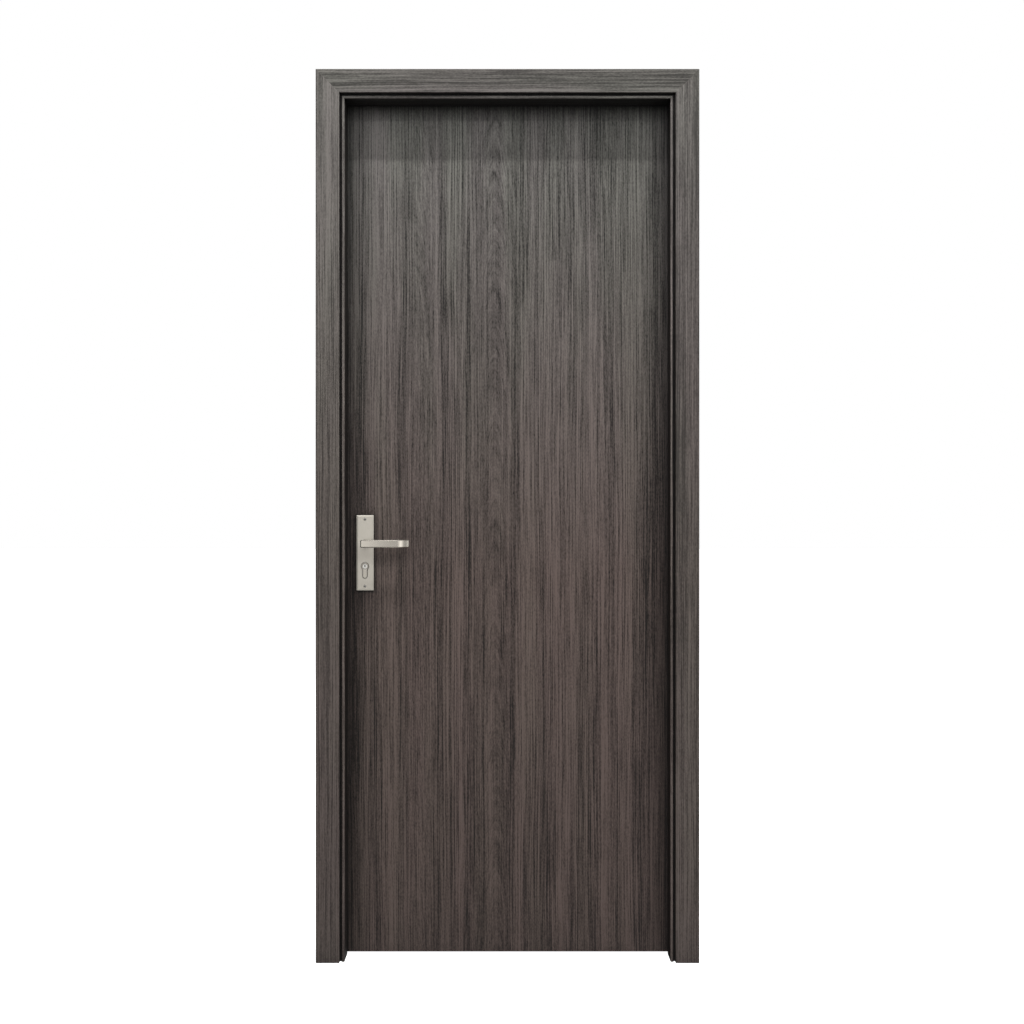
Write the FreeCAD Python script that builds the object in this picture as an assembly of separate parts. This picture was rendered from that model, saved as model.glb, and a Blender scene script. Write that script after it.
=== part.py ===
import FreeCAD, Part
import math
import os

# A flush hollow core door hung in its frame, with mitred casings on both faces of the wall,
# lever handles on long plates, a profile key cylinder and three butt hinges.
# Units are millimetres. +Z is up and +Y runs from the push side, where the leaf lies deep in
# the frame, to the pull side, where the hinge knuckles show.
# The origin is on the hinge jamb's outer face, which is fixed to the wall, at floor level and
# halfway through the frame's depth, so the doorway lies towards -X.

Vector = FreeCAD.Vector

# Frame
frame_width = 900.0
frame_height = 2200.0
frame_depth = 110.0
jamb_thickness = 27.5
stop_rise = 15.0
stop_gap = 3.0
bead_width = 7.4
bead_round = 2.6
arris_round = 1.0
quirk_width = 4.3
quirk_depth = 6.0

# Casings
casing_width = 59.0
casing_thickness = 10.0
casing_round = 2.0
pull_side_reveal = 10.5

# Seal between stop and leaf
seal_groove_inset = 5.5
seal_groove_width = 3.0
seal_groove_depth = 5.0
seal_bulb_width = 7.0
seal_bulb_round = 1.2
seal_clearance = 0.3

# Leaf
leaf_thickness = 40.0
latch_gap = 5.5
hinge_gap = 3.0
head_gap = 5.0
floor_gap = 5.0
latch_edge_bevel_deg = 2.5
skin_thickness = 4.0
stile_width = 38.0
rail_height = 38.0
lock_block_width = 92.0
lock_block_height = 330.0
core_cell_pitch = 200.0
core_wall = 2.0

# Hinges
hinge_height = 102.0
hinge_reach = 38.0
hinge_plate_thickness = 3.0
knuckle_radius = 6.5
knuckle_count = 3
knuckle_gap = 0.4
pin_radius = 3.5
pin_clearance = 0.05
pin_stand_off = 7.0
pin_tip = 2.0
top_hinge_inset = 180.0
bottom_hinge_inset = 250.0

# Lock
spindle_height = 1044.0
backset = 55.0
cylinder_drop = 58.0
forend_width = 22.0
forend_thickness = 3.0
forend_above_spindle = 68.0
forend_below_spindle = 122.0
case_depth = 86.0
case_thickness = 15.0
case_above_spindle = 42.0
case_below_spindle = 98.0
latch_bolt_thickness = 11.0
latch_bolt_height = 18.0
latch_bolt_rise = 10.0
dead_bolt_thickness = 12.0
dead_bolt_height = 32.0
dead_bolt_drop = 30.0
bolt_length = 32.0
bolt_clearance = 0.3
follower_radius = 8.5
follower_clearance = 0.05
spindle_size = 8.0
spindle_length = 112.0
spindle_hole_clearance = 1.0

# Profile cylinder
cylinder_radius = 8.5
cylinder_tail_width = 10.0
cylinder_total_height = 38.0
cylinder_stand_out = 2.0
cylinder_clearance = 0.3
plug_radius = 6.5
plug_clearance = 0.05
plug_length = 27.0
plug_face_chamfer = 0.8
key_slot_width = 2.4
key_slot_height = 6.5
key_slot_depth = 24.0
key_slot_rise = 1.0

# Strike
strike_height = 150.0
strike_width = 24.0
strike_thickness = 2.0
strike_hole_margin = 2.0
strike_pocket_depth = 20.0

# Handle plates
plate_width = 44.0
plate_above_spindle = 72.0
plate_below_spindle = 119.0
plate_thickness = 8.0
plate_wall = 2.0
plate_rim_width = 3.5
plate_rim_drop = 0.7
plate_cutout_clearance = 1.5

# Levers
neck_radius = 8.0
neck_clearance = 0.08
lever_height = 19.0
lever_thickness = 9.0
lever_projection = 49.0
lever_heel = 8.5
lever_straight_reach = 82.0
lever_bow_radius = 420.0
lever_end_radius = 50.0
lever_end_turn_deg = 47.0
lever_edge_chamfer = 2.0
lever_heel_round = 5.0

# Places that follow from the sizes above
push_face_y = -frame_depth / 2
pull_face_y = frame_depth / 2
centre_x = -frame_width / 2
hinge_jamb_x = -jamb_thickness
latch_jamb_x = jamb_thickness - frame_width
head_jamb_z = frame_height - jamb_thickness
hinge_stop_x = hinge_jamb_x - stop_rise
latch_stop_x = latch_jamb_x + stop_rise
clear_height = head_jamb_z - stop_rise
push_reveal = bead_width + quirk_width

leaf_pull_y = pull_face_y
leaf_push_y = leaf_pull_y - leaf_thickness
leaf_mid_y = (leaf_push_y + leaf_pull_y) / 2
leaf_latch_x = latch_jamb_x + latch_gap
leaf_hinge_x = hinge_jamb_x - hinge_gap
leaf_bottom_z = floor_gap
leaf_top_z = head_jamb_z - head_gap
stop_face_y = leaf_push_y - stop_gap

pin_x = (leaf_hinge_x + hinge_jamb_x) / 2
pin_y = leaf_pull_y + pin_stand_off
hinge_centres = {
    "upper": leaf_top_z - top_hinge_inset,
    "middle": (leaf_top_z - top_hinge_inset + leaf_bottom_z + bottom_hinge_inset) / 2,
    "lower": leaf_bottom_z + bottom_hinge_inset,
}

spindle_x = leaf_latch_x + backset
cylinder_z = spindle_height - cylinder_drop
plate_face_y = leaf_push_y - plate_thickness
latch_bolt_z = spindle_height + latch_bolt_rise
dead_bolt_z = spindle_height - dead_bolt_drop


def box(x, y, z):
    """A box between a low and a high value along each axis."""
    return Part.makeBox(x[1] - x[0], y[1] - y[0], z[1] - z[0], Vector(x[0], y[0], z[0]))


def rod(radius, x, z, y):
    """A cylinder along Y between two depths."""
    return Part.makeCylinder(radius, y[1] - y[0], Vector(x, y[0], z), Vector(0, 1, 0))


def post(radius, x, y, z):
    """An upright cylinder between two heights."""
    return Part.makeCylinder(radius, z[1] - z[0], Vector(x, y, z[0]))


def mirror_x(shape, x):
    return shape.mirror(Vector(x, 0, 0), Vector(1, 0, 0))


def mirror_y(shape, y):
    return shape.mirror(Vector(0, y, 0), Vector(0, 1, 0))


def at_height(shape, z):
    moved = shape.copy()
    moved.translate(Vector(0, 0, z))
    return moved


def section(corners):
    """A flat face at z = 0 from (x, y, radius) corners; a radius above 0 rounds its corner."""
    points = [Vector(c[0], c[1], 0) for c in corners]
    starts, ends, arcs = [], [], []
    for i, (point, corner) in enumerate(zip(points, corners)):
        back = (points[i - 1] - point).normalize()
        ahead = (points[(i + 1) % len(points)] - point).normalize()
        half = back.getAngle(ahead) / 2
        radius = corner[2]
        reach = radius / math.tan(half)
        starts.append(point + back * reach)
        ends.append(point + ahead * reach)
        bisector = (back + ahead).normalize()
        middle = point + bisector * (radius / math.sin(half) - radius)
        arcs.append(Part.Arc(starts[-1], middle, ends[-1]).toShape() if radius else None)
    edges = []
    for i, arc in enumerate(arcs):
        if arc:
            edges.append(arc)
        following = starts[(i + 1) % len(starts)]
        if ends[i].distanceToPoint(following) > 1e-6:
            edges.append(Part.makeLine(ends[i], following))
    return Part.Face(Part.Wire(edges))


def head_zone():
    """The part of the doorway's surround that belongs to the head, cut off at its mitres."""
    reach = frame_width / 2
    top = clear_height + reach
    corners = [
        Vector(latch_stop_x, 0, clear_height),
        Vector(hinge_stop_x, 0, clear_height),
        Vector(hinge_stop_x + reach, 0, top),
        Vector(latch_stop_x - reach, 0, top),
    ]
    face = Part.Face(Part.makePolygon(corners + corners[:1]))
    face.translate(Vector(0, -frame_depth, 0))
    return face.extrude(Vector(0, 2 * frame_depth, 0))


def beside_head():
    """What lies outside the head's mitre on the hinge side, above the clear opening."""
    reach = frame_width / 2
    corners = [
        Vector(hinge_stop_x, -frame_depth, clear_height),
        Vector(hinge_stop_x + reach, -frame_depth, clear_height),
        Vector(hinge_stop_x + reach, -frame_depth, clear_height + reach),
    ]
    return Part.Face(Part.makePolygon(corners + corners[:1])).extrude(Vector(0, 2 * frame_depth, 0))


def surround(corners):
    """Three mitred members round the doorway: latch side, hinge side and head.

    The section's x is the distance outwards from the clear opening and its y is the depth.
    """
    face = section(corners)
    mitre = head_zone()
    hinge_side = face.extrude(Vector(0, 0, frame_height + frame_width))
    hinge_side.translate(Vector(hinge_stop_x, 0, 0))
    below = box((-2 * frame_width, frame_width), (-frame_depth, frame_depth), (0, clear_height))
    hinge_side = hinge_side.common(below.fuse(beside_head())).removeSplitter()
    latch_side = mirror_x(hinge_side, centre_x)
    upright = face.copy()
    upright.rotate(Vector(0, 0, 0), Vector(0, 1, 0), -90)
    upright.translate(Vector(frame_width / 2, 0, clear_height))
    head = upright.extrude(Vector(-2 * frame_width, 0, 0)).common(mitre)
    return latch_side, hinge_side, head


def jamb_section():
    """The jamb's board, as deep as the wall, with its arris eased on the pull side."""
    outer = stop_rise + jamb_thickness
    return [
        (stop_rise, push_face_y, 0),
        (stop_rise, pull_face_y, arris_round),
        (outer, pull_face_y, 0),
        (outer, push_face_y, 0),
    ]


def stop_section():
    """A stop planted on the jamb: bead and quirk on its front edge, a groove for the seal behind."""
    groove = (seal_groove_inset, seal_groove_inset + seal_groove_width)
    groove_floor = stop_face_y - seal_groove_depth
    return [
        (0, push_face_y, arris_round),
        (0, stop_face_y, 0),
        (groove[0], stop_face_y, 0),
        (groove[0], groove_floor, 0),
        (groove[1], groove_floor, 0),
        (groove[1], stop_face_y, 0),
        (stop_rise, stop_face_y, 0),
        (stop_rise, push_face_y, 0),
        (push_reveal, push_face_y, 0),
        (push_reveal, push_face_y + quirk_depth, 0),
        (bead_width, push_face_y + quirk_depth, 0),
        (bead_width, push_face_y, bead_round),
    ]


def casing_section(inner, wall_y, face_y):
    """A flat casing, eased on the two edges of its face."""
    outer = inner + casing_width
    return [
        (inner, wall_y, 0),
        (inner, face_y, casing_round),
        (outer, face_y, casing_round),
        (outer, wall_y, 0),
    ]


def seal_section():
    """A barb that fills the stop's groove, and the bulb that the leaf closes on."""
    middle = seal_groove_inset + seal_groove_width / 2
    crown = leaf_push_y - seal_clearance
    groove_floor = stop_face_y - seal_groove_depth
    return [
        (middle - seal_groove_width / 2, groove_floor, 0),
        (middle - seal_groove_width / 2, stop_face_y, 0),
        (middle - seal_bulb_width / 2, stop_face_y, 0),
        (middle - seal_bulb_width / 2, crown, seal_bulb_round),
        (middle + seal_bulb_width / 2, crown, seal_bulb_round),
        (middle + seal_bulb_width / 2, stop_face_y, 0),
        (middle + seal_groove_width / 2, stop_face_y, 0),
        (middle + seal_groove_width / 2, groove_floor, 0),
    ]


def hinge_plate(side):
    """One hinge's flat plate, at z = 0: side is 1 on the jamb and -1 on the leaf."""
    inner = hinge_jamb_x if side > 0 else leaf_hinge_x
    x = sorted((inner, inner + side * hinge_plate_thickness))
    y = (pin_y - hinge_reach, leaf_pull_y)
    return box(x, y, (-hinge_height / 2, hinge_height / 2))


def hinge_half(side):
    """A plate with its share of the knuckles: the jamb has the two outer ones, the leaf the middle."""
    half = hinge_plate(side)
    plate_x = half.BoundBox.XMin, half.BoundBox.XMax
    pitch = hinge_height / knuckle_count
    first = 0 if side > 0 else 1
    for i in range(first, knuckle_count, 2):
        z = (
            -hinge_height / 2 + i * pitch + knuckle_gap / 2,
            -hinge_height / 2 + (i + 1) * pitch - knuckle_gap / 2,
        )
        web = box(plate_x, (leaf_pull_y, pin_y), z)
        half = half.fuse(post(knuckle_radius, pin_x, pin_y, z)).fuse(web)
    ends = (-hinge_height, hinge_height)
    half = half.cut(post(pin_radius + pin_clearance, pin_x, pin_y, ends))
    return half.removeSplitter()


def hinge_pin():
    """The pin, which shows a little at both ends of the knuckles."""
    half = hinge_height / 2 + pin_tip
    return post(pin_radius, pin_x, pin_y, (-half, half))


def bevel_wedge():
    """What the bevel takes off the leaf's latch edge."""
    back = leaf_thickness * math.tan(math.radians(latch_edge_bevel_deg))
    corners = [
        Vector(leaf_latch_x, leaf_pull_y, 0),
        Vector(leaf_latch_x + back, leaf_push_y, 0),
        Vector(leaf_latch_x - back, leaf_push_y, 0),
        Vector(leaf_latch_x - back, leaf_pull_y, 0),
    ]
    return Part.Face(Part.makePolygon(corners + corners[:1])).extrude(Vector(0, 0, frame_height))


def on_bevel(shape):
    """Turns a piece made against the square latch edge so that it lies on the bevel."""
    turned = shape.copy()
    turned.rotate(Vector(leaf_latch_x, leaf_pull_y, 0), Vector(0, 0, 1), latch_edge_bevel_deg)
    return turned


def profile(grow, y):
    """The key cylinder's outline, a round head over a narrow tail, larger all round by grow."""
    tail = cylinder_tail_width / 2
    foot_z = cylinder_z + cylinder_radius - cylinder_total_height + tail
    head = rod(cylinder_radius + grow, spindle_x, cylinder_z, y)
    web = box((spindle_x - tail - grow, spindle_x + tail + grow), y, (foot_z, cylinder_z))
    return head.fuse([web, rod(tail + grow, spindle_x, foot_z, y)]).removeSplitter()


def bolt(thickness, height, z):
    """A bolt drawn back so that its end lies in the plane of the latch edge."""
    y = (leaf_mid_y - thickness / 2, leaf_mid_y + thickness / 2)
    x = (leaf_latch_x, leaf_latch_x + bolt_length)
    return box(x, y, (z - height / 2, z + height / 2)).cut(bevel_wedge())


def bolt_hole(thickness, height, z):
    """The way that a bolt runs in, through forend and stile into the case."""
    wide = thickness / 2 + bolt_clearance
    tall = height / 2 + bolt_clearance
    x = (leaf_latch_x - forend_thickness, leaf_latch_x + bolt_length)
    return box(x, (leaf_mid_y - wide, leaf_mid_y + wide), (z - tall, z + tall))


def bolt_holes():
    latch = bolt_hole(latch_bolt_thickness, latch_bolt_height, latch_bolt_z)
    dead = bolt_hole(dead_bolt_thickness, dead_bolt_height, dead_bolt_z)
    return [latch, dead]


def forend_blank():
    """The lock's face plate, let into the bevelled edge."""
    x = (leaf_latch_x, leaf_latch_x + forend_thickness)
    y = (leaf_mid_y - forend_width / 2, leaf_mid_y + forend_width / 2)
    z = (spindle_height - forend_below_spindle, spindle_height + forend_above_spindle)
    return on_bevel(box(x, y, z))


def case_blank():
    """The lock case's block, which starts behind the bevelled forend."""
    back = leaf_thickness * math.tan(math.radians(latch_edge_bevel_deg))
    x = (leaf_latch_x + forend_thickness + back, leaf_latch_x + case_depth)
    y = (leaf_mid_y - case_thickness / 2, leaf_mid_y + case_thickness / 2)
    z = (spindle_height - case_below_spindle, spindle_height + case_above_spindle)
    return box(x, y, z)


def through_leaf():
    """A span in Y that passes right through the leaf."""
    return (leaf_push_y - leaf_thickness, leaf_pull_y + leaf_thickness)


def handle_holes():
    """The holes for the spindle and the key cylinder through skins and lock block."""
    spindle = rod(neck_radius + spindle_hole_clearance, spindle_x, spindle_height, through_leaf())
    return [spindle, profile(plate_cutout_clearance, through_leaf())]


def leaf_pieces():
    """Skins, stiles, rails, lock block and paper core, with their mortises."""
    x = (leaf_latch_x, leaf_hinge_x)
    z = (leaf_bottom_z, leaf_top_z)
    core_y = (leaf_push_y + skin_thickness, leaf_pull_y - skin_thickness)
    wedge = bevel_wedge()
    hinge_mortises = [at_height(hinge_plate(-1), h) for h in hinge_centres.values()]
    case_mortise = case_blank()

    push_skin = box(x, (leaf_push_y, core_y[0]), z).cut([wedge] + handle_holes())
    pull_skin = box(x, (core_y[1], leaf_pull_y), z)
    pull_skin = pull_skin.cut([wedge] + handle_holes() + hinge_mortises)

    latch_stile = box((x[0], x[0] + stile_width), core_y, z)
    latch_stile = latch_stile.cut([wedge, forend_blank(), case_mortise] + bolt_holes())
    hinge_stile = box((x[1] - stile_width, x[1]), core_y, z).cut(hinge_mortises)

    rail_x = (x[0] + stile_width, x[1] - stile_width)
    top_rail = box(rail_x, core_y, (z[1] - rail_height, z[1]))
    bottom_rail = box(rail_x, core_y, (z[0], z[0] + rail_height))

    block_x = (rail_x[0], rail_x[0] + lock_block_width)
    lock_middle = spindle_height - cylinder_drop / 2
    block_z = (lock_middle - lock_block_height / 2, lock_middle + lock_block_height / 2)
    lock_block = box(block_x, core_y, block_z).cut([case_mortise] + handle_holes())

    cavity_z = (z[0] + rail_height, z[1] - rail_height)
    core = paper_core(rail_x, cavity_z, block_x, block_z, core_y)
    return {
        "push_side_skin": push_skin,
        "pull_side_skin": pull_skin,
        "latch_stile": latch_stile,
        "hinge_stile": hinge_stile,
        "top_rail": top_rail,
        "bottom_rail": bottom_rail,
        "lock_block": lock_block,
        "paper_core": core,
    }


def flat_rectangle(x, z, y):
    corners = [
        Vector(x[0], y, z[0]),
        Vector(x[1], y, z[0]),
        Vector(x[1], y, z[1]),
        Vector(x[0], y, z[1]),
    ]
    return Part.Face(Part.makePolygon(corners + corners[:1]))


def hexagon(x, y, z, radius):
    corners = []
    for i in range(6):
        angle = math.radians(60 * i + 30)
        corners.append(Vector(x + radius * math.cos(angle), y, z + radius * math.sin(angle)))
    return Part.Face(Part.makePolygon(corners + corners[:1]))


def paper_core(x, z, block_x, block_z, y):
    """Expanded paper cells that fill the leaf between stiles, rails and lock block."""
    cavity = flat_rectangle(x, z, y[0]).cut(flat_rectangle(block_x, block_z, y[0]))
    inside_x = (x[0] + core_wall, x[1] - core_wall)
    inside_z = (z[0] + core_wall, z[1] - core_wall)
    clear_x = (block_x[0] - core_wall, block_x[1] + core_wall)
    clear_z = (block_z[0] - core_wall, block_z[1] + core_wall)
    inside = flat_rectangle(inside_x, inside_z, y[0]).cut(flat_rectangle(clear_x, clear_z, y[0]))
    radius = (core_cell_pitch - core_wall) / math.sqrt(3)
    row_pitch = core_cell_pitch * math.sqrt(3) / 2
    cells = []
    rows = int((z[1] - z[0]) / row_pitch) + 2
    columns = int((x[1] - x[0]) / core_cell_pitch) + 2
    for row in range(rows):
        row_z = z[0] + row * row_pitch
        row_x = x[0] + core_cell_pitch / 2 * (row % 2)
        for column in range(columns):
            cells.append(hexagon(row_x + column * core_cell_pitch, y[0], row_z, radius))
    kept = inside.common(Part.makeCompound(cells)).Faces
    smallest = core_wall * core_cell_pitch
    kept = [cell for cell in kept if cell.Area > smallest]
    web = cavity.cut(Part.makeCompound(kept))
    return web.extrude(Vector(0, y[1] - y[0], 0))


def spindle():
    """The square bar through both levers."""
    half = spindle_size / 2
    y = (leaf_mid_y - spindle_length / 2, leaf_mid_y + spindle_length / 2)
    return box(
        (spindle_x - half, spindle_x + half), y, (spindle_height - half, spindle_height + half)
    )


def lock_pieces():
    """Forend, case, bolts and the follower that the spindle turns."""
    forend = forend_blank().cut(bolt_holes())
    case = case_blank().cut(bolt_holes())
    across = (leaf_mid_y - case_thickness / 2, leaf_mid_y + case_thickness / 2)
    case = case.cut(rod(follower_radius + follower_clearance, spindle_x, spindle_height, across))
    case = case.cut(profile(cylinder_clearance, across))
    follower = rod(follower_radius, spindle_x, spindle_height, across).cut(spindle())
    return {
        "lock_case": case,
        "lock_forend": forend,
        "latch_bolt": bolt(latch_bolt_thickness, latch_bolt_height, latch_bolt_z),
        "dead_bolt": bolt(dead_bolt_thickness, dead_bolt_height, dead_bolt_z),
        "lock_follower": follower,
    }


def key_plug():
    """The round plug on the push side, with its key slot."""
    front = plate_face_y - cylinder_stand_out
    y = (front, front + plug_length)
    blank = rod(plug_radius, spindle_x, cylinder_z, y)
    rim = [e for e in blank.Edges if e.Closed and abs(e.BoundBox.YMin - front) < plug_clearance]
    plug = blank.makeChamfer(plug_face_chamfer, rim)
    slot_z = cylinder_z + key_slot_rise
    slot = box(
        (spindle_x - key_slot_width / 2, spindle_x + key_slot_width / 2),
        (front, front + key_slot_depth),
        (slot_z - key_slot_height / 2, slot_z + key_slot_height / 2),
    )
    return plug.cut(slot)


def cylinder_body():
    """The profile cylinder's body, bored at both ends for its plugs."""
    y = (plate_face_y - cylinder_stand_out, 2 * leaf_mid_y - plate_face_y + cylinder_stand_out)
    bore_y = (y[0], y[0] + plug_length + plug_clearance)
    bore = rod(plug_radius + plug_clearance, spindle_x, cylinder_z, bore_y)
    return profile(0, y).cut([bore, mirror_y(bore, leaf_mid_y)])


def handle_plate():
    """The push side's long plate: a shallow tray with a bevelled rim, open for neck and cylinder."""
    x = (spindle_x - plate_width / 2, spindle_x + plate_width / 2)
    z = (spindle_height - plate_below_spindle, spindle_height + plate_above_spindle)
    shoulder_y = plate_face_y + plate_rim_drop
    rim = plate_rim_width
    wall = plate_wall
    body = box(x, (shoulder_y, leaf_push_y), z)
    low = (x[0] + rim, plate_face_y, z[0] + rim, z[0], x[0])
    high = (x[1] - rim, shoulder_y, z[1] - rim, z[1], x[1])
    front = Part.makeWedge(*low, *high)
    hollow = box(
        (x[0] + wall, x[1] - wall),
        (shoulder_y + wall, leaf_push_y),
        (z[0] + wall, z[1] - wall),
    )
    through = (plate_face_y - plate_thickness, leaf_push_y)
    bore = rod(neck_radius + neck_clearance, spindle_x, spindle_height, through)
    tray = body.fuse(front).removeSplitter().cut(hollow)
    return tray.cut([bore, profile(plate_cutout_clearance, through)])


def nearest_edge(shape, point, z):
    """The upright edge that passes closest to a point of the plan."""
    target = Vector(point.x, point.y, z)
    uprights = [e for e in shape.Edges if abs(e.BoundBox.ZLength - lever_height) < 0.01]
    return min(uprights, key=lambda e: e.CenterOfMass.distanceToPoint(target))


def long_edges(bar):
    """The edges round the lever's face, top and bottom."""
    radii = (lever_bow_radius, lever_end_radius, lever_heel_round)
    found = []
    for edge in bar.Edges:
        level = edge.BoundBox.ZLength < 0.01
        if level and hasattr(edge.Curve, "Radius"):
            if min(abs(edge.Curve.Radius - radius) for radius in radii) < 0.01:
                found.append(edge)
    return found


def lever():
    """The push side's lever: a round neck, and a bowed flat bar that curves back at its end."""
    crown_y = plate_face_y - lever_projection
    half_span = (lever_heel + lever_straight_reach) / 2
    middle_x = spindle_x + lever_straight_reach - half_span
    bow = math.asin(half_span / lever_bow_radius)
    turn = math.radians(lever_end_turn_deg)
    bow_centre = Vector(middle_x, crown_y + lever_bow_radius, 0)
    joint = Vector(math.sin(bow), -math.cos(bow), 0)
    end_centre = bow_centre + joint * (lever_bow_radius - lever_end_radius)

    def on(centre, radius, angle):
        return centre + Vector(math.sin(angle), -math.cos(angle), 0) * radius

    def side(depth):
        """The bowed arc and the end arc, at a depth behind the lever's face."""
        bow_arc = [on(bow_centre, lever_bow_radius - depth, a) for a in (-bow, 0, bow)]
        end_arc = [on(end_centre, lever_end_radius - depth, a) for a in (bow, (bow + turn) / 2, turn)]
        return bow_arc, end_arc

    outer, inner = side(0), side(lever_thickness)
    edges = [Part.Arc(*arc).toShape() for arc in outer + inner]
    edges.append(Part.makeLine(outer[1][2], inner[1][2]))
    edges.append(Part.makeLine(outer[0][0], inner[0][0]))
    plan = Part.Face(Part.Wire(Part.__sortEdges__(edges)))
    plan.translate(Vector(0, 0, spindle_height - lever_height / 2))
    bar = plan.extrude(Vector(0, 0, lever_height))
    bar = bar.makeFillet(lever_heel_round, [nearest_edge(bar, outer[0][0], spindle_height)])
    bar = bar.makeChamfer(lever_edge_chamfer, long_edges(bar))
    neck = rod(neck_radius, spindle_x, spindle_height, (crown_y + lever_thickness / 2, leaf_push_y))
    whole = bar.fuse(neck).removeSplitter()
    return whole.cut(spindle())


def strike_blank():
    """The strike plate's outline, let into the latch jamb."""
    middle = (latch_bolt_z + dead_bolt_z) / 2
    return box(
        (latch_jamb_x - strike_thickness, latch_jamb_x),
        (leaf_mid_y - strike_width / 2, leaf_mid_y + strike_width / 2),
        (middle - strike_height / 2, middle + strike_height / 2),
    )


def strike_plate():
    """The strike plate with its two openings, and the pockets behind them in the jamb."""
    pockets = []
    sizes = (
        (latch_bolt_thickness, latch_bolt_height, latch_bolt_z),
        (dead_bolt_thickness, dead_bolt_height, dead_bolt_z),
    )
    for thickness, height, z in sizes:
        wide = thickness / 2 + strike_hole_margin
        tall = height / 2 + strike_hole_margin
        x = (latch_jamb_x - strike_pocket_depth, latch_jamb_x)
        pockets.append(box(x, (leaf_mid_y - wide, leaf_mid_y + wide), (z - tall, z + tall)))
    return strike_blank().cut(pockets), pockets


def main():
    pieces = {}
    names = ("latch_side", "hinge_side", "head")
    rings = {
        "jamb": surround(jamb_section()),
        "stop": surround(stop_section()),
        "push_casing": surround(
            casing_section(push_reveal, push_face_y, push_face_y - casing_thickness)
        ),
        "pull_casing": surround(
            casing_section(stop_rise + pull_side_reveal, pull_face_y, pull_face_y + casing_thickness)
        ),
        "seal": surround(seal_section()),
    }
    for ring, members in rings.items():
        for name, member in zip(names, members):
            pieces[ring + "_" + name] = member

    frame_half, leaf_half, pin = hinge_half(1), hinge_half(-1), hinge_pin()
    for level, height in hinge_centres.items():
        pieces[level + "_hinge_frame_half"] = at_height(frame_half, height)
        pieces[level + "_hinge_leaf_half"] = at_height(leaf_half, height)
        pieces[level + "_hinge_pin"] = at_height(pin, height)
    mortises = [at_height(hinge_plate(1), h) for h in hinge_centres.values()]
    pieces["jamb_hinge_side"] = pieces["jamb_hinge_side"].cut(mortises)

    strike, pockets = strike_plate()
    pieces["strike_plate"] = strike
    pieces["jamb_latch_side"] = pieces["jamb_latch_side"].cut([strike_blank()] + pockets)

    pieces.update(leaf_pieces())
    pieces.update(lock_pieces())
    pieces["cylinder_body"] = cylinder_body()
    plug = key_plug()
    pieces["push_side_key_plug"] = plug
    pieces["pull_side_key_plug"] = mirror_y(plug, leaf_mid_y)
    plate = handle_plate()
    pieces["push_side_plate"] = plate
    pieces["pull_side_plate"] = mirror_y(plate, leaf_mid_y)
    handle = lever()
    pieces["push_side_lever"] = handle
    pieces["pull_side_lever"] = mirror_y(handle, leaf_mid_y)
    pieces["lever_spindle"] = spindle()

    os.makedirs("parts", exist_ok=True)
    for name, shape in pieces.items():
        solids = shape.Solids
        if not solids or not shape.isValid():
            raise ValueError(name + " is not a valid solid")
        whole = solids[0] if len(solids) == 1 else Part.makeCompound(solids)
        whole.exportStep("parts/" + name + ".step")
        print(name, len(solids), round(whole.Volume / 1000, 1), "cm3")


main()
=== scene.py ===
import math
from collections import namedtuple

import bmesh
import bpy
from mathutils import Matrix, Vector


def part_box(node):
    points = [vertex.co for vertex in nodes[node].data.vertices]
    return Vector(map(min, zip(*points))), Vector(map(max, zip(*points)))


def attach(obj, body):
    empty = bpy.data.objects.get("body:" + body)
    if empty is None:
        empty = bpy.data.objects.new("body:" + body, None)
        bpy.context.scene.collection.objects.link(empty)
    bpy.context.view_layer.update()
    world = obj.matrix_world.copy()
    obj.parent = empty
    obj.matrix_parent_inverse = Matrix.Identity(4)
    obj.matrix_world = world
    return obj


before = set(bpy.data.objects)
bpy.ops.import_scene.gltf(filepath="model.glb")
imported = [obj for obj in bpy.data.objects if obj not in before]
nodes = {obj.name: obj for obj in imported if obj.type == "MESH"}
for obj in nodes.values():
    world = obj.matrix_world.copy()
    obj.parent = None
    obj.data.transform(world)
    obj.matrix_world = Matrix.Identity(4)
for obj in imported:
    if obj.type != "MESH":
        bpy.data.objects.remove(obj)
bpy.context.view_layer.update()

# Places taken from the frame, in metres
LEAF_LOW, LEAF_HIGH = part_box("push_side_skin")
PLATE_LOW, PLATE_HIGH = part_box("push_side_plate")
SPINDLE_LOW, SPINDLE_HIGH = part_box("lever_spindle")
FOREND_LOW, FOREND_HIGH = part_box("lock_forend")
STRIKE_LOW, STRIKE_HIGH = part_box("strike_plate")
PULL_PLATE_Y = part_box("pull_side_plate")[1][1]
LATCH_EDGE_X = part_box("pull_side_skin")[0][0]
LEAF_PULL_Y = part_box("pull_side_skin")[1][1]
HINGE_FACES = {
    "frame_half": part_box("jamb_hinge_side")[0][0],
    "leaf_half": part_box("hinge_stile")[1][0],
}
DOORWAY_X = (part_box("jamb_hinge_side")[1][0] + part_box("jamb_latch_side")[0][0]) / 2
FRAME_FACE_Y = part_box("jamb_head")[0][1]
LEVELS = ("upper", "middle", "lower")
PIECES_ROUND_DOORWAY = ("latch_side", "hinge_side", "head")


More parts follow.
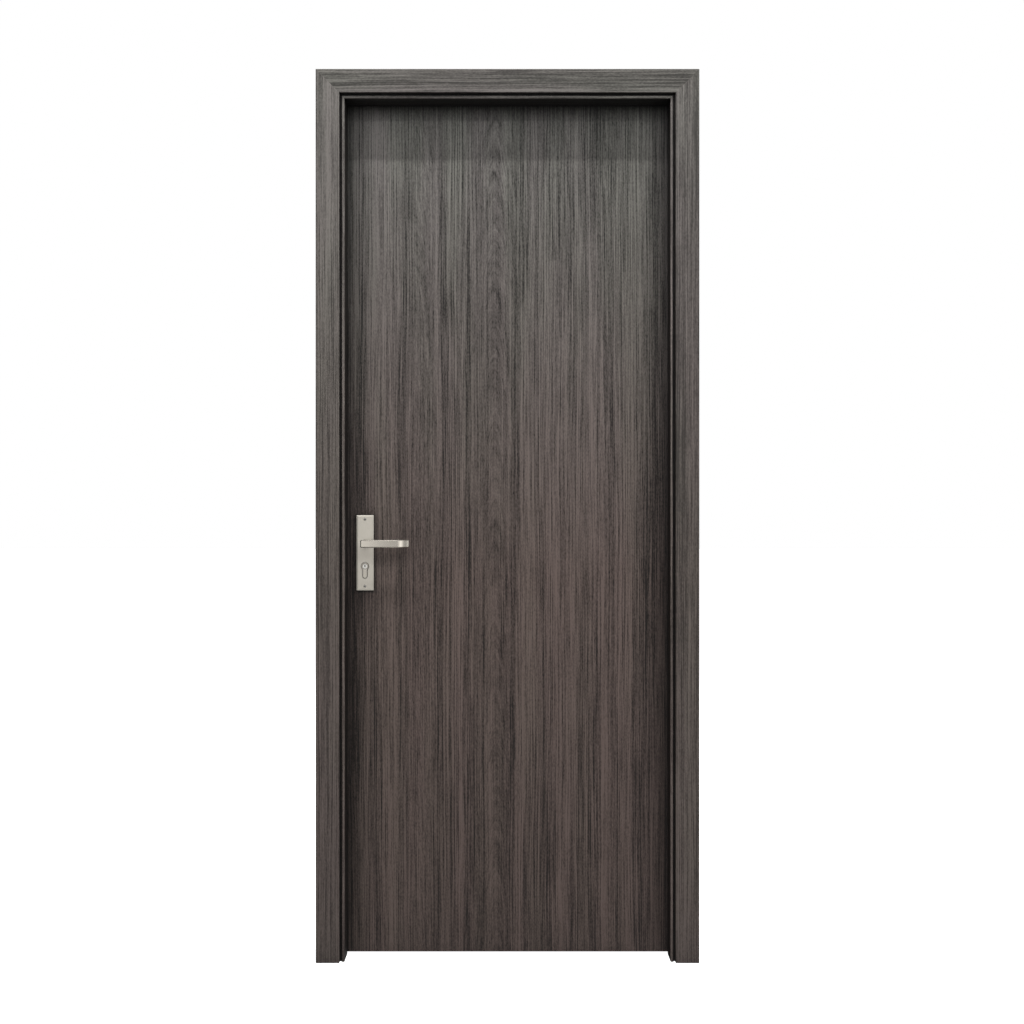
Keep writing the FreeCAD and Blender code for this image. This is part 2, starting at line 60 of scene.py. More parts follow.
class Graph:
    """Short calls that build the node tree of a material or a world."""

    def __init__(self, owner):
        owner.use_nodes = True
        self.owner = owner
        self.tree = owner.node_tree
        self.tree.nodes.clear()

    def put(self, kind, sockets=None, **settings):
        node = self.tree.nodes.new(kind)
        for key, value in settings.items():
            setattr(node, key, value)
        for key, value in (sockets or {}).items():
            if isinstance(value, bpy.types.NodeSocket):
                self.tree.links.new(value, node.inputs[key])
            else:
                node.inputs[key].default_value = value
        return node

    def axes(self, coordinates):
        """The x, y and z of one kind of texture coordinates."""
        place = self.put("ShaderNodeTexCoord").outputs[coordinates]
        return self.put("ShaderNodeSeparateXYZ", {0: place}).outputs

    def math(self, operation, first, second=0.0, third=0.0):
        sockets = {0: first, 1: second, 2: third}
        return self.put("ShaderNodeMath", sockets, operation=operation).outputs[0]

    def add(self, first, second):
        return self.math("ADD", first, second)

    def less(self, first, second):
        return self.math("SUBTRACT", first, second)

    def times(self, first, second):
        return self.math("MULTIPLY", first, second)

    def vector(self, x, y, z):
        return self.put("ShaderNodeCombineXYZ", {0: x, 1: y, 2: z}).outputs[0]

    def scaled(self, axes, scales):
        return self.vector(*(self.times(axis, scale) for axis, scale in zip(axes, scales)))

    def noise(self, place, detail=2.0, roughness=0.5):
        """A noise from 0 to 1 with a mean of one half, one unit to a cell."""
        sockets = {"Vector": place, "Scale": 1.0, "Detail": detail, "Roughness": roughness}
        return self.put("ShaderNodeTexNoise", sockets).outputs[0]

    def ramp(self, value, low, high, out_low=0.0, out_high=1.0, smooth=True):
        sockets = {0: value, 1: low, 2: high, 3: out_low, 4: out_high}
        kind = "SMOOTHSTEP" if smooth else "LINEAR"
        return self.put("ShaderNodeMapRange", sockets, interpolation_type=kind).outputs[0]

    def between(self, value, out_low, out_high):
        """The straight line from one number to another as a value goes from 0 to 1."""
        return self.ramp(value, 0.0, 1.0, out_low, out_high, smooth=False)

    def blend(self, amount, first, second):
        """A plain value between two others."""
        return self.math("MULTIPLY_ADD", self.less(second, first), amount, first)

    def sway(self, value, noise, strength):
        """A value moved up and down by a noise whose mean is one half."""
        return self.math("MULTIPLY_ADD", self.less(noise, 0.5), strength, value)

    def hump(self, value, centre, reach):
        """1 at the centre, falling away smoothly on both sides."""
        far = self.math("DIVIDE", self.less(value, centre), reach)
        return self.math("EXPONENT", self.times(self.times(far, far), -1.0))

    def mix(self, amount, first, second, blend="MIX"):
        node = self.put("ShaderNodeMix", data_type="RGBA", blend_type=blend)
        for index, value in ((0, amount), (6, first), (7, second)):
            if isinstance(value, bpy.types.NodeSocket):
                self.tree.links.new(value, node.inputs[index])
            elif index:
                node.inputs[index].default_value = (*value, 1.0)
            else:
                node.inputs[index].default_value = value
        return node.outputs[2]

    def dim(self, colour, amount):
        """A colour times a plain value."""
        return self.mix(1.0, colour, self.vector(amount, amount, amount), "MULTIPLY")

    def hollow(self, reach, samples):
        """1 in the open and less where another surface stands within reach."""
        sockets = {"Distance": reach}
        return self.put("ShaderNodeAmbientOcclusion", sockets, samples=samples).outputs["AO"]

    def bump(self, height, strength, distance):
        sockets = {"Height": height, "Strength": strength, "Distance": distance}
        return self.put("ShaderNodeBump", sockets).outputs[0]

    def surface(self, **sockets):
        named = {key.replace("_", " "): value for key, value in sockets.items()}
        shader = self.put("ShaderNodeBsdfPrincipled", named)
        self.put("ShaderNodeOutputMaterial", {"Surface": shader.outputs[0]})
        return self.owner


# Wood

WARM_WOOD = (0.0742, 0.0540, 0.0480)
GREY_WOOD = (0.0813, 0.0745, 0.0696)
WARM_BELOW, GREY_ABOVE = 0.95, 2.15
ROSY_TINT = (1.02, 0.99, 1.01)
OLIVE_TINT = (0.98, 1.01, 0.98)
WARM_TINT = 0.5
WOOD_MIDDLE, WOOD_SWING = 1.05, 0.90
WARM_SWING = 1.16
WOOD_SPECULAR = 0.3
WOOD_VALUES = (0.2, 0.9)
ROUGH_WOOD, SMOOTH_WOOD = 0.60, 0.46
WOOD_BUMP, WOOD_BUMP_DEPTH = 0.35, 0.0005

# Noise drawn out along the grain: cells to a metre across the grain and along it, detail, roughness
Strands = namedtuple("Strands", "across along detail roughness")

# Each kind of strand with its strength: long lines, dashes and broad bands, then arcs and growth bands
STRAIGHT_GRAIN = (
    (Strands(300.0, 0.9, 2.0, 0.7), 2.0),
    (Strands(340.0, 7.0, 1.0, 0.6), 1.4),
    (Strands(28.0, 0.6, 1.0, 0.5), 1.1),
)
ARCHED_GRAIN = (
    (Strands(700.0, 15.0, 2.0, 0.75), 2.4),
    (Strands(180.0, 1.5, 1.0, 0.5), 1.0),
)
GRAIN_MIDDLE = 0.55
PORES, PORE_STRENGTH = Strands(400.0, 60.0, 2.0, 0.8), 1.1
GRIT, GRIT_STRENGTH = Strands(380.0, 170.0, 0.0, 0.5), 0.5
OPEN_PORES = (0.50, 0.66)
PORE_DARKNESS, PORE_DEPTH = 0.12, 0.6
PATCHES = Strands(10.0, 1.1, 2.0, 0.5)
PATCH_EDGES = (0.35, 0.65)
PATCH_DRIFT = 5.0

# How the grain wanders sideways, and how it changes with depth, with the shift and from side to side
WANDER, WANDER_REACH = Strands(7.0, 1.3, 2.0, 0.5), 0.016
ACROSS_BY_DEPTH = 0.9
ALONG_BY_SHIFT = 7.3
SIDE_DRIFT = 9.0

# Arches: pitch of their heart lines, roundness of their tops, slope, unevenness, and strength low down
FIGURE_PITCH = 0.21
ARCH_ROUNDING = 0.06
ARCH_SLOPE = 0.05
SWELL_CELLS, SWELL_REACH = 3.0, 0.012
LOW_FIGURE = 0.6

# How far each painted shade of a hollow reaches, in metres, and how deep it is; this shade is painted into
# the wood's colour
HOLLOW_SHADES = ((0.004, 2.2), (0.014, 1.1), (0.10, 1.1))
HOLLOW_SAMPLES = 3
OPEN_SHARE_AT_FLOOR = 0.5

# Over this depth behind the frame's face the painted shade of the reveals sets in
FACE_DEPTH = 0.01


def strands(g, kind, across, length, side):
    """One kind of strand as a noise from 0 to 1."""
    cells = g.vector(g.times(across, kind.across), g.times(length, kind.along), side)
    return g.noise(cells, kind.detail, kind.roughness)


def grain(g, kinds, across, length, side):
    """Several kinds of strands laid over each other, as a value round one half."""
    value = GRAIN_MIDDLE
    for kind, strength in kinds:
        value = g.sway(value, strands(g, kind, across, length, side), strength)
    return value


def rings(g, offset, length, side):
    """Counts the way across so that the grain rises in stacked arches over each heart line."""
    swell = g.noise(g.vector(g.times(length, SWELL_CELLS), side, 0.0), 1.0)
    fold = g.math("PINGPONG", offset, FIGURE_PITCH / 2)
    ring = g.math("SQRT", g.math("MULTIPLY_ADD", fold, fold, ARCH_ROUNDING**2))
    ring = g.math("MULTIPLY_ADD", length, ARCH_SLOPE, ring)
    return g.math("MULTIPLY_ADD", swell, SWELL_REACH, ring)


def shade_of_recess(g, height):
    """How much colour a hollow keeps under painted shade: narrow dark creases in a wider soft shade, the
    floor left out.
    """
    kept = 1.0
    for reach, depth in HOLLOW_SHADES:
        hollow = g.hollow(reach, HOLLOW_SAMPLES)
        over_floor = g.ramp(height, 0.0, reach, OPEN_SHARE_AT_FLOOR, 1.0, smooth=False)
        open_share = g.math("MINIMUM", g.math("DIVIDE", hollow, over_floor), 1.0)
        kept = g.times(g.math("POWER", open_share, depth), kept)
    return kept


def veneer(name, along, heart, figures=(), shift=0.0, tone=1.0, swing=1.0, greys=(0.0, 1.0), painted_reveal_shade=1.0):
    """Dark stained veneer whose grain runs along one axis, warmer below and greyer above.

    Heart lines lie at whole figure pitches from the one given. Each figure is (middle, reach, strength)
    and shows the arches round them, or only their flanks where it lies between two. Elsewhere the grain
    runs straight. The swing is the share of the grain's contrast that is kept, and the greys are how
    grey the wood is below and above. The painted reveal shade is painted shade: the tone of what lies
    behind the frame's face, as a share of the tone in front, darker where the reveals lie in shade.
    """
    g = Graph(bpy.data.materials.new(name))
    x, y, z = g.axes("Object")
    lengthways, crossways = (z, x) if along == "Z" else (x, z)
    across = g.add(g.add(crossways, g.times(y, ACROSS_BY_DEPTH)), shift)
    length = g.add(lengthways, shift * ALONG_BY_SHIFT)
    across = g.sway(across, strands(g, WANDER, across, length, 0.0), WANDER_REACH)
    offset = g.less(across, heart + shift)
    side = g.times(offset, SIDE_DRIFT)

    value = grain(g, STRAIGHT_GRAIN, across, length, side)
    if figures:
        arched = grain(g, ARCHED_GRAIN, rings(g, offset, length, side), length, side)
        clear = g.ramp(z, WARM_BELOW, GREY_ABOVE, LOW_FIGURE, 1.0)
        for middle, reach, strength in figures:
            near = g.times(g.hump(across, middle + shift, reach), clear)
            value = g.blend(g.times(near, strength), value, arched)
    pore = strands(g, PORES, across, length, side)
    value = g.sway(value, pore, PORE_STRENGTH)
    value = g.sway(value, strands(g, GRIT, across, length, side), GRIT_STRENGTH)
    open_pore = g.ramp(pore, *OPEN_PORES)
    value = g.math("MULTIPLY_ADD", open_pore, -PORE_DARKNESS, value)

    grey = g.ramp(z, WARM_BELOW, GREY_ABOVE, *greys, smooth=False)
    dark, light = ((WOOD_MIDDLE + sign * swing * WOOD_SWING) * tone for sign in (-1.0, 1.0))
    stretched = g.sway(0.5, value, g.between(grey, WARM_SWING, 1.0))
    patch = g.ramp(strands(g, PATCHES, across, length, g.add(side, PATCH_DRIFT)), *PATCH_EDGES)
    tint = g.mix(patch, ROSY_TINT, OLIVE_TINT)
    colour = g.mix(g.between(grey, WARM_TINT, 1.0), g.mix(grey, WARM_WOOD, GREY_WOOD), tint, "MULTIPLY")
    colour = g.dim(colour, g.between(stretched, dark, light))
    # Painted shade: behind the frame's face the colour falls to a share of the colour in front, darkening
    # the reveals where shade falls
    reveal_shade = g.ramp(y, FRAME_FACE_Y, FRAME_FACE_Y + FACE_DEPTH, 1.0, painted_reveal_shade)
    # Painted shade: the hollows' shade is multiplied into the base colour
    return g.surface(
        Base_Color=g.dim(colour, g.times(shade_of_recess(g, z), reveal_shade)),
        Roughness=g.ramp(value, *WOOD_VALUES, ROUGH_WOOD, SMOOTH_WOOD, smooth=False),
        Specular_IOR_Level=WOOD_SPECULAR,
        Normal=g.bump(g.math("MULTIPLY_ADD", open_pore, -PORE_DEPTH, value), WOOD_BUMP, WOOD_BUMP_DEPTH),
    )


# Metal, rubber, paper

NICKEL = (0.665, 0.612, 0.535)
BRIGHT_NICKEL = (0.92, 0.89, 0.83)
STAINLESS = (0.56, 0.55, 0.53)
SCREW_STEEL = (0.34, 0.33, 0.31)
RUBBER = (0.020, 0.017, 0.015)
TIMBER = (0.50, 0.36, 0.22)
PAPER = (0.42, 0.31, 0.20)
BRUSH_FINE, BRUSH_COARSE = 5200.0, 55.0
BRUSH_TONES = (0.93, 1.03)
BRUSH_BUMP, BRUSH_BUMP_DEPTH = 0.12, 0.00008
CLOUD_CELLS = 70.0
BRUSH_SHEEN, CLOUD_SHEEN = 0.10, 0.08
# Painted shade in crevices: how far it reaches in metres, how deep it is, and its samples
CREVICE_SHADE_REACH, CREVICE_SHADE_DEPTH, CREVICE_SHADE_SAMPLES = 0.004, 1.5, 4

NOISE_EDGES = (0.3, 0.7)
DULL_SPECULAR = 0.4
MOTTLE_BUMP, MOTTLE_BUMP_DEPTH = 0.2, 0.0003


def satin_metal(name, colour, along, roughness, metallic=0.85):
    """Metal with fine brush lines along one axis, a faint unevenness in its sheen and painted shade in its
    crevices.
    """
    g = Graph(bpy.data.materials.new(name))
    axes = g.axes("Object")
    scales = [BRUSH_COARSE if axis == along else BRUSH_FINE for axis in "XYZ"]
    lines = g.noise(g.scaled(axes, scales), detail=2.0, roughness=0.65)
    cloud = g.noise(g.scaled(axes, [CLOUD_CELLS] * 3), detail=3.0)
    tone = g.ramp(lines, *NOISE_EDGES, *BRUSH_TONES, smooth=False)
    # Painted shade: the colour darkens where another surface stands within reach
    tone = g.times(tone, g.math("POWER", g.hollow(CREVICE_SHADE_REACH, CREVICE_SHADE_SAMPLES), CREVICE_SHADE_DEPTH))
    return g.surface(
        Base_Color=g.dim(colour, tone),
        Metallic=metallic,
        Roughness=g.sway(g.sway(roughness, lines, BRUSH_SHEEN), cloud, CLOUD_SHEEN),
        Normal=g.bump(lines, BRUSH_BUMP, BRUSH_BUMP_DEPTH),
    )


def plain(name, colour, roughness, cells, speck):
    """A dull surface with a fine even mottle, for rubber, timber and paper."""
    g = Graph(bpy.data.materials.new(name))
    place = g.put("ShaderNodeTexCoord").outputs["Object"]
    stretched = g.put("ShaderNodeMapping", {"Vector": place, "Scale": cells}).outputs[0]
    mottle = g.noise(stretched, detail=4.0, roughness=0.6)
    dark = tuple(share * (1.0 - speck) for share in colour)
    light = tuple(min(1.0, share * (1.0 + speck)) for share in colour)
    return g.surface(
        Base_Color=g.mix(g.ramp(mottle, *NOISE_EDGES), dark, light),
        Roughness=roughness,
        Specular_IOR_Level=DULL_SPECULAR,
        Normal=g.bump(mottle, MOTTLE_BUMP, MOTTLE_BUMP_DEPTH),
    )


def dress(names, material):
    for name in names:
        for slot in nodes[name].material_slots:
            slot.material = material


# The leaf's heart line, and the middle, reach and strength of each figure
LEAF_HEART = DOORWAY_X - 0.019
LEAF_FIGURES = (
    (DOORWAY_X - 0.011, 0.046, 0.72),
    (DOORWAY_X - 0.200, 0.028, 0.55),
    (DOORWAY_X + 0.270, 0.024, 0.40),
)
FAR_LEAF_SHIFT, EDGE_SHIFT, RAIL_SHIFT = 0.11, 0.05, 0.02
EDGE_TONE = 0.95

# Each ring of the frame with its tone and the share of that tone kept behind the frame's face, which is
# painted shade on the reveals. The stop's tone of 1.7 is painted light on its bead.
FRAME_TONES_AND_SHADES = (
    ("jamb", 1.0, 1.0),
    ("stop", 1.7, 0.11),
    ("push_casing", 1.17, 1.0),
    ("pull_casing", 1.17, 1.0),
)
FRAME_GREYS = (0.3, 0.85)
FRAME_SWING = 0.7
FRAME_SHIFT = 0.037


def dress_wood():
    leaf = veneer("leaf_veneer", "Z", LEAF_HEART, LEAF_FIGURES)
    far_leaf = veneer("far_leaf_veneer", "Z", LEAF_HEART, LEAF_FIGURES, shift=FAR_LEAF_SHIFT)
    edges = veneer("edge_veneer", "Z", LEAF_HEART, shift=EDGE_SHIFT, tone=EDGE_TONE)
    rails = veneer("rail_veneer", "X", LEAF_HEART, shift=RAIL_SHIFT, tone=EDGE_TONE)
    dress(["push_side_skin"], leaf)
    dress(["pull_side_skin"], far_leaf)
    dress(["latch_stile", "hinge_stile"], edges)
    dress(["top_rail", "bottom_rail"], rails)

    for ring, tone, painted_reveal_shade in FRAME_TONES_AND_SHADES:
        for index, side in enumerate(PIECES_ROUND_DOORWAY):
            name = ring + "_" + side
            along, crossways = ("X", 2) if side == "head" else ("Z", 0)
            low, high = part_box(name)
            material = veneer(
                name + "_veneer",
                along,
                (low[crossways] + high[crossways]) / 2,
                shift=FRAME_SHIFT * (index + 1),
                tone=tone,
                swing=FRAME_SWING,
                greys=FRAME_GREYS,
                painted_reveal_shade=painted_reveal_shade,
            )
            dress([name], material)


def dress_hardware(hinge_steel):
    plate = satin_metal("plate_nickel", NICKEL, "Z", roughness=0.22, metallic=0.65)
    bar = satin_metal("lever_nickel", NICKEL, "X", roughness=0.23)
    plug = satin_metal("plug_nickel", BRIGHT_NICKEL, "X", roughness=0.22)
    lock = satin_metal("lock_steel", STAINLESS, "Z", roughness=0.34)
    dress(["push_side_plate", "pull_side_plate"], plate)
    dress(["push_side_lever", "pull_side_lever", "cylinder_body"], bar)
    dress(["push_side_key_plug", "pull_side_key_plug"], plug)
    dress(["lock_case", "lock_forend", "latch_bolt", "dead_bolt", "lock_follower", "strike_plate"], lock)
    dress(["lever_spindle"], lock)
    for level in LEVELS:
        dress([level + "_hinge_" + part for part in ("frame_half", "leaf_half", "pin")], hinge_steel)


def dress_rest():
    rubber = plain("seal_rubber", RUBBER, roughness=0.55, cells=(300.0, 300.0, 300.0), speck=0.15)
    timber = plain("leaf_timber", TIMBER, roughness=0.7, cells=(300.0, 300.0, 12.0), speck=0.18)
    paper = plain("core_paper", PAPER, roughness=0.85, cells=(180.0, 180.0, 180.0), speck=0.10)
    dress(["seal_" + side for side in PIECES_ROUND_DOORWAY], rubber)
    dress(["lock_block"], timber)
    dress(["paper_core"], paper)


# Small fasteners

ROUND_STEPS = 32
STAR_POINTS = 4


def turned(outline, centre, outward):
    """A closed mesh turned round an axis. Each outline point is (radius, height, lobes).

    Lobes above 0 pull a ring into a four-pointed star, which makes a driver's recess.
    """
    mesh = bmesh.new()
    rows = []
    for radius, height, lobes in outline:
        row = []
        for step in range(ROUND_STEPS):
            angle = math.tau * step / ROUND_STEPS
            reach = radius * (1.0 + lobes * math.cos(STAR_POINTS * angle))
            row.append(mesh.verts.new((reach * math.cos(angle), reach * math.sin(angle), height)))
        rows.append(row)
    for lower, upper in zip(rows, rows[1:]):
        for step in range(ROUND_STEPS):
            after = (step + 1) % ROUND_STEPS
            mesh.faces.new((lower[step], lower[after], upper[after], upper[step]))
    mesh.faces.new(reversed(rows[0]))
    mesh.faces.new(rows[-1])
    turn = Vector((0, 0, 1)).rotation_difference(Vector(outward)).to_matrix().to_4x4()
    mesh.transform(Matrix.Translation(Vector(centre)) @ turn)
    return mesh


# Screw heads: shares of the radius, shares of the crown, and heights over the face in metres
HEAD_RIM = ((1.0, 0.35), (0.86, 0.75), (0.66, 1.0))
HEAD_SEAT = 0.00002
RECESS_TOP, RECESS_BOTTOM = 0.42, 0.26
RECESS_LOBES = 0.38
RECESS_FLOOR = 0.00006


def screw(centre, outward, radius, crown):
    """A countersunk screw head with a slight crown and a cross recess, seated on a face."""
    outline = [(radius, HEAD_SEAT, 0.0)]
    for reach, rise in HEAD_RIM:
        outline.append((radius * reach, crown * rise, 0.0))
    outline.append((radius * RECESS_TOP, crown, RECESS_LOBES))
    outline.append((radius * RECESS_BOTTOM, RECESS_FLOOR, RECESS_LOBES))
    return turned(outline, centre, outward)


def joined(name, meshes, material, body):
    """Several meshes as one shown piece that rides on a body."""
    whole = bmesh.new()
    for mesh in meshes:
        part = bpy.data.meshes.new(name)
        mesh.to_mesh(part)
        mesh.free()
        whole.from_mesh(part)
        bpy.data.meshes.remove(part)
    data = bpy.data.meshes.new(name)
    whole.to_mesh(data)
    whole.free()
    data.materials.append(material)
    piece = bpy.data.objects.new(name, data)
    bpy.context.scene.collection.objects.link(piece)
    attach(piece, body)


PLATE_SCREW_INSET = 0.0105
PLATE_SCREW_RADIUS = 0.0032
PLATE_SCREW_CROWN = 0.0009


def add_plate_screws(material):
    x = (SPINDLE_LOW[0] + SPINDLE_HIGH[0]) / 2
    heights = (PLATE_LOW[2] + PLATE_SCREW_INSET, PLATE_HIGH[2] - PLATE_SCREW_INSET)
    for side, y, outward in (("push", PLATE_LOW[1], (0, -1, 0)), ("pull", PULL_PLATE_Y, (0, 1, 0))):
        heads = [screw((x, y, z), outward, PLATE_SCREW_RADIUS, PLATE_SCREW_CROWN) for z in heights]
        joined(side + "_side_plate_screws", heads, material, "leaf")


# Each screw of a hinge half: how far in from the leaf's pull side, and how high over its middle
HINGE_SCREWS = ((0.010, 0.040), (0.020, 0.016), (0.020, -0.016), (0.010, -0.040))
HINGE_SCREW_RADIUS = 0.0040
FLUSH_CROWN = 0.0002


def add_hinge_screws(material):
    for level in LEVELS:
        for half, body, outward in (("frame_half", "frame", (-1, 0, 0)), ("leaf_half", "leaf", (1, 0, 0))):
            low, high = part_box(level + "_hinge_" + half)
            middle = (low[2] + high[2]) / 2
            heads = []
            for inset, rise in HINGE_SCREWS:
                centre = (HINGE_FACES[half], LEAF_PULL_Y - inset, middle + rise)
                heads.append(screw(centre, outward, HINGE_SCREW_RADIUS, FLUSH_CROWN))
            joined(level + "_hinge_" + half + "_screws", heads, material, body)


PIN_DOME = 0.0014
DOME_STEPS = 6


def dome(centre, outward, radius):
    """The rounded end of a hinge pin."""
    outline = [(radius, -PIN_DOME / 4, 0.0)]
    for step in range(DOME_STEPS):
        angle = math.pi / 2 * step / DOME_STEPS
        outline.append((radius * math.cos(angle), PIN_DOME * math.sin(angle), 0.0))
    return turned(outline, centre, outward)


def add_pin_tips(material):
    for level in LEVELS:
        low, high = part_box(level + "_hinge_pin")
        x, y = (low[0] + high[0]) / 2, (low[1] + high[1]) / 2
        radius = (high[0] - low[0]) / 2
        tips = [dome((x, y, high[2]), (0, 0, 1), radius), dome((x, y, low[2]), (0, 0, -1), radius)]
        joined(level + "_hinge_pin_tips", tips, material, "frame")


LATCH_EDGE_BEVEL = math.radians(2.5)
EDGE_SCREW_INSET = 0.0085
EDGE_SCREW_RADIUS = 0.0036


def add_lock_screws(material):
    """Two screws in the forend, square to the bevelled edge, and two in the strike plate."""
    y = (STRIKE_LOW[1] + STRIKE_HIGH[1]) / 2
    x = LATCH_EDGE_X + (LEAF_PULL_Y - y) * math.tan(LATCH_EDGE_BEVEL)
    outward = (-math.cos(LATCH_EDGE_BEVEL), -math.sin(LATCH_EDGE_BEVEL), 0)
    heights = (FOREND_LOW[2] + EDGE_SCREW_INSET, FOREND_HIGH[2] - EDGE_SCREW_INSET)
    heads = [screw((x, y, z), outward, EDGE_SCREW_RADIUS, FLUSH_CROWN) for z in heights]
    joined("lock_forend_screws", heads, material, "leaf")
    heights = (STRIKE_LOW[2] + EDGE_SCREW_INSET, STRIKE_HIGH[2] - EDGE_SCREW_INSET)
    heads = [screw((STRIKE_HIGH[0], y, z), (1, 0, 0), EDGE_SCREW_RADIUS, FLUSH_CROWN) for z in heights]
    joined("strike_screws", heads, material, "frame")


# Studio

# Metres in front of the frame's face and over the floor, then millimetres, then pixels
CAMERA_DISTANCE = 3.614
CAMERA_HEIGHT = 1.1240
LENS = 50.86
SENSOR = 36.0
FRAME_PIXELS = 1024.0
CENTRE_SHIFT_PIXELS = 4.5


def add_camera():
    data = bpy.data.cameras.new("camera")
    data.lens = LENS
    data.sensor_width = SENSOR
    data.shift_x = CENTRE_SHIFT_PIXELS / FRAME_PIXELS
    camera = bpy.data.objects.new("camera", data)
    camera.location = (DOORWAY_X, FRAME_FACE_Y - CAMERA_DISTANCE, CAMERA_HEIGHT)
    camera.rotation_euler = (math.pi / 2, 0.0, 0.0)
    bpy.context.scene.collection.objects.link(camera)
    bpy.context.scene.camera = camera


# Each light in front: degrees above the leaf's top, metres in front of the leaf, its height, its watts
FRONT_LIGHTS = (
    ("low_panel", 11.0, 3.0, 1.3, 60.0),
    ("low_strip", 28.0, 3.0, 0.2, 55.0),
    ("high_strip", 61.0, 1.5, 0.12, 159.0),
)
COOL_LIGHT, WHITE_LIGHT = (0.93, 0.985, 0.98), (1.0, 1.0, 1.0)
LIGHT_WIDTH, LIGHT_TO_RIGHT = 5.0, 0.45
AIM_HEIGHT = 1.4
BACK_FILL_PLACE = (DOORWAY_X + 1.5, 4.5, 3.6)
BACK_FILL_SIZE = (4.0, 2.0)
BACK_FILL_WATTS = 260.0


def add_area_light(name, place, target, size, power, colour):
    data = bpy.data.lights.new(name, "AREA")
    data.shape = "RECTANGLE"
    data.size, data.size_y = size
    data.energy = power
    data.color = colour
    light = bpy.data.objects.new(name, data)
    light.location = place
    aim = Vector(target) - Vector(place)
    light.rotation_euler = aim.to_track_quat("-Z", "Y").to_euler()
    light.visible_glossy = False
    bpy.context.scene.collection.objects.link(light)


def add_lights():
    """A low panel and two wide strips above eye level in front, and a softer panel behind."""
    leaf_y = LEAF_LOW[1]
    top_z = LEAF_HIGH[2]
    middle = (DOORWAY_X + LIGHT_TO_RIGHT, leaf_y, AIM_HEIGHT)
    for name, elevation, reach, height, power in FRONT_LIGHTS:
        rise = reach * math.tan(math.radians(elevation))
        place = (middle[0], leaf_y - reach, top_z + rise)
        add_area_light(name, place, middle, (LIGHT_WIDTH, height), power, COOL_LIGHT)
    add_area_light("back_fill", BACK_FILL_PLACE, middle, BACK_FILL_SIZE, BACK_FILL_WATTS, WHITE_LIGHT)


# How strongly each part of the surroundings lights the object, and the edges between which it fades
FRONT_GLOW, SIDE_GLOW, BACK_GLOW = 0.36, 0.09, 0.30
FRONT_EDGES, BACK_EDGES = (0.5, 0.92), (-0.2, -0.8)
GLOW_HORIZON = (-0.02, 0.03)

# What metal mirrors, in degrees of azimuth: 0 is towards the camera and positive is to its right
SHEEN = 0.50
SHEEN_SIDES = ((-30.0, 28.0, 1.0), (36.0, 11.0, 1.9), (86.0, 8.0, 1.3))
SHEEN_DARK_LEFT, DARK_LEFT_SHARE = (-85.0, -60.0), 0.06
SHEEN_LEVEL, SHEEN_RISE = 0.95, 0.9
SHEEN_BELOW, SHEEN_HORIZON = 0.8, (-0.04, -0.02)
LEAST_LEVEL = 0.001


def glow_round(g, x, y, z):
    """Light from above the horizon, most of it from the front."""
    level = g.math("SQRT", g.math("MULTIPLY_ADD", x, x, g.times(y, y)))
    frontal = g.math("DIVIDE", g.times(y, -1.0), g.math("MAXIMUM", level, LEAST_LEVEL))
    glow = g.ramp(frontal, *FRONT_EDGES, SIDE_GLOW, FRONT_GLOW)
    glow = g.add(glow, g.ramp(frontal, *BACK_EDGES, 0.0, BACK_GLOW))
    return g.times(glow, g.ramp(z, *GLOW_HORIZON))


def sheen_round(g, x, y, z):
    """What metal mirrors: bright humps beside the camera, dark at the far left, brighter upwards."""
    azimuth = g.times(g.math("ARCTAN2", x, g.times(y, -1.0)), math.degrees(1.0))
    sheen = SHEEN
    for centre, reach, strength in SHEEN_SIDES:
        sheen = g.math("MULTIPLY_ADD", g.hump(azimuth, centre, reach), strength, sheen)
    sheen = g.times(sheen, g.ramp(azimuth, *SHEEN_DARK_LEFT, DARK_LEFT_SHARE, 1.0))
    steep = g.math("MULTIPLY_ADD", g.math("MAXIMUM", z, 0.0), SHEEN_RISE, SHEEN_LEVEL)
    return g.times(g.times(sheen, steep), g.ramp(z, *SHEEN_HORIZON, SHEEN_BELOW, 1.0))


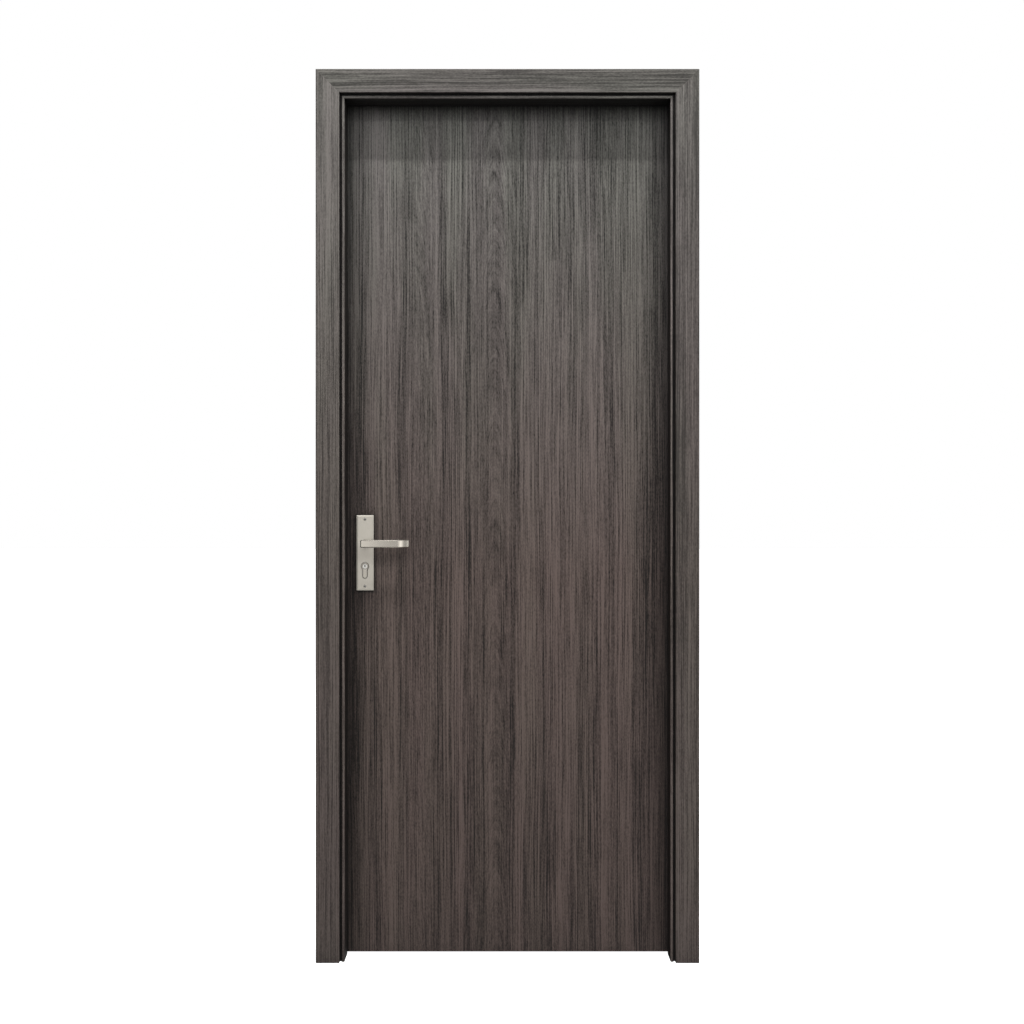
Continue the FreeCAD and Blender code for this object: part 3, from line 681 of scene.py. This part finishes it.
def add_world():
    """White to the eye all round, with one glow as light and another in mirrors."""
    world = bpy.data.worlds.new("studio")
    g = Graph(world)
    x, y, z = g.axes("Generated")
    path = g.put("ShaderNodeLightPath")
    strength = g.blend(path.outputs["Is Glossy Ray"], glow_round(g, x, y, z), sheen_round(g, x, y, z))
    cast = g.put("ShaderNodeBackground", {"Strength": strength})
    shown = g.put("ShaderNodeBackground", {"Color": (1.0, 1.0, 1.0, 1.0), "Strength": 1.0})
    sockets = {0: path.outputs["Is Camera Ray"], 1: cast.outputs[0], 2: shown.outputs[0]}
    either = g.put("ShaderNodeMixShader", sockets)
    g.put("ShaderNodeOutputWorld", {"Surface": either.outputs[0]})
    bpy.context.scene.world = world


FLOOR_REACH = 40.0
FLOOR_WHITES = ((0.86, 0.86, 0.86), (0.88, 0.88, 0.88))


def floor_paint():
    """White paint, bright enough to stay white where little light falls on it."""
    g = Graph(bpy.data.materials.new("floor_paint"))
    place = g.put("ShaderNodeTexCoord").outputs["Object"]
    mottle = g.noise(place, detail=4.0)
    return g.surface(
        Base_Color=g.mix(mottle, *FLOOR_WHITES),
        Roughness=0.8,
        Emission_Color=(1.0, 1.0, 1.0, 1.0),
        Emission_Strength=1.0,
    )


def add_floor():
    data = bpy.data.meshes.new("floor")
    corners = [(x * FLOOR_REACH, y * FLOOR_REACH, 0.0) for x, y in ((-1, -1), (1, -1), (1, 1), (-1, 1))]
    data.from_pydata(corners, [], [(0, 1, 2, 3)])
    data.materials.append(floor_paint())
    floor = bpy.data.objects.new("floor", data)
    bpy.context.scene.collection.objects.link(floor)
    floor.visible_diffuse = False
    floor.visible_glossy = False


def main():
    hinge_steel = satin_metal("hinge_steel", STAINLESS, "Z", roughness=0.30)
    dress_wood()
    dress_hardware(hinge_steel)
    dress_rest()
    add_pin_tips(hinge_steel)
    steel = satin_metal("screw_steel", SCREW_STEEL, "X", roughness=0.35)
    add_plate_screws(steel)
    add_hinge_screws(steel)
    add_lock_screws(steel)
    add_camera()
    add_lights()
    add_world()
    add_floor()
    bpy.context.scene.view_settings.view_transform = "Standard"


main()
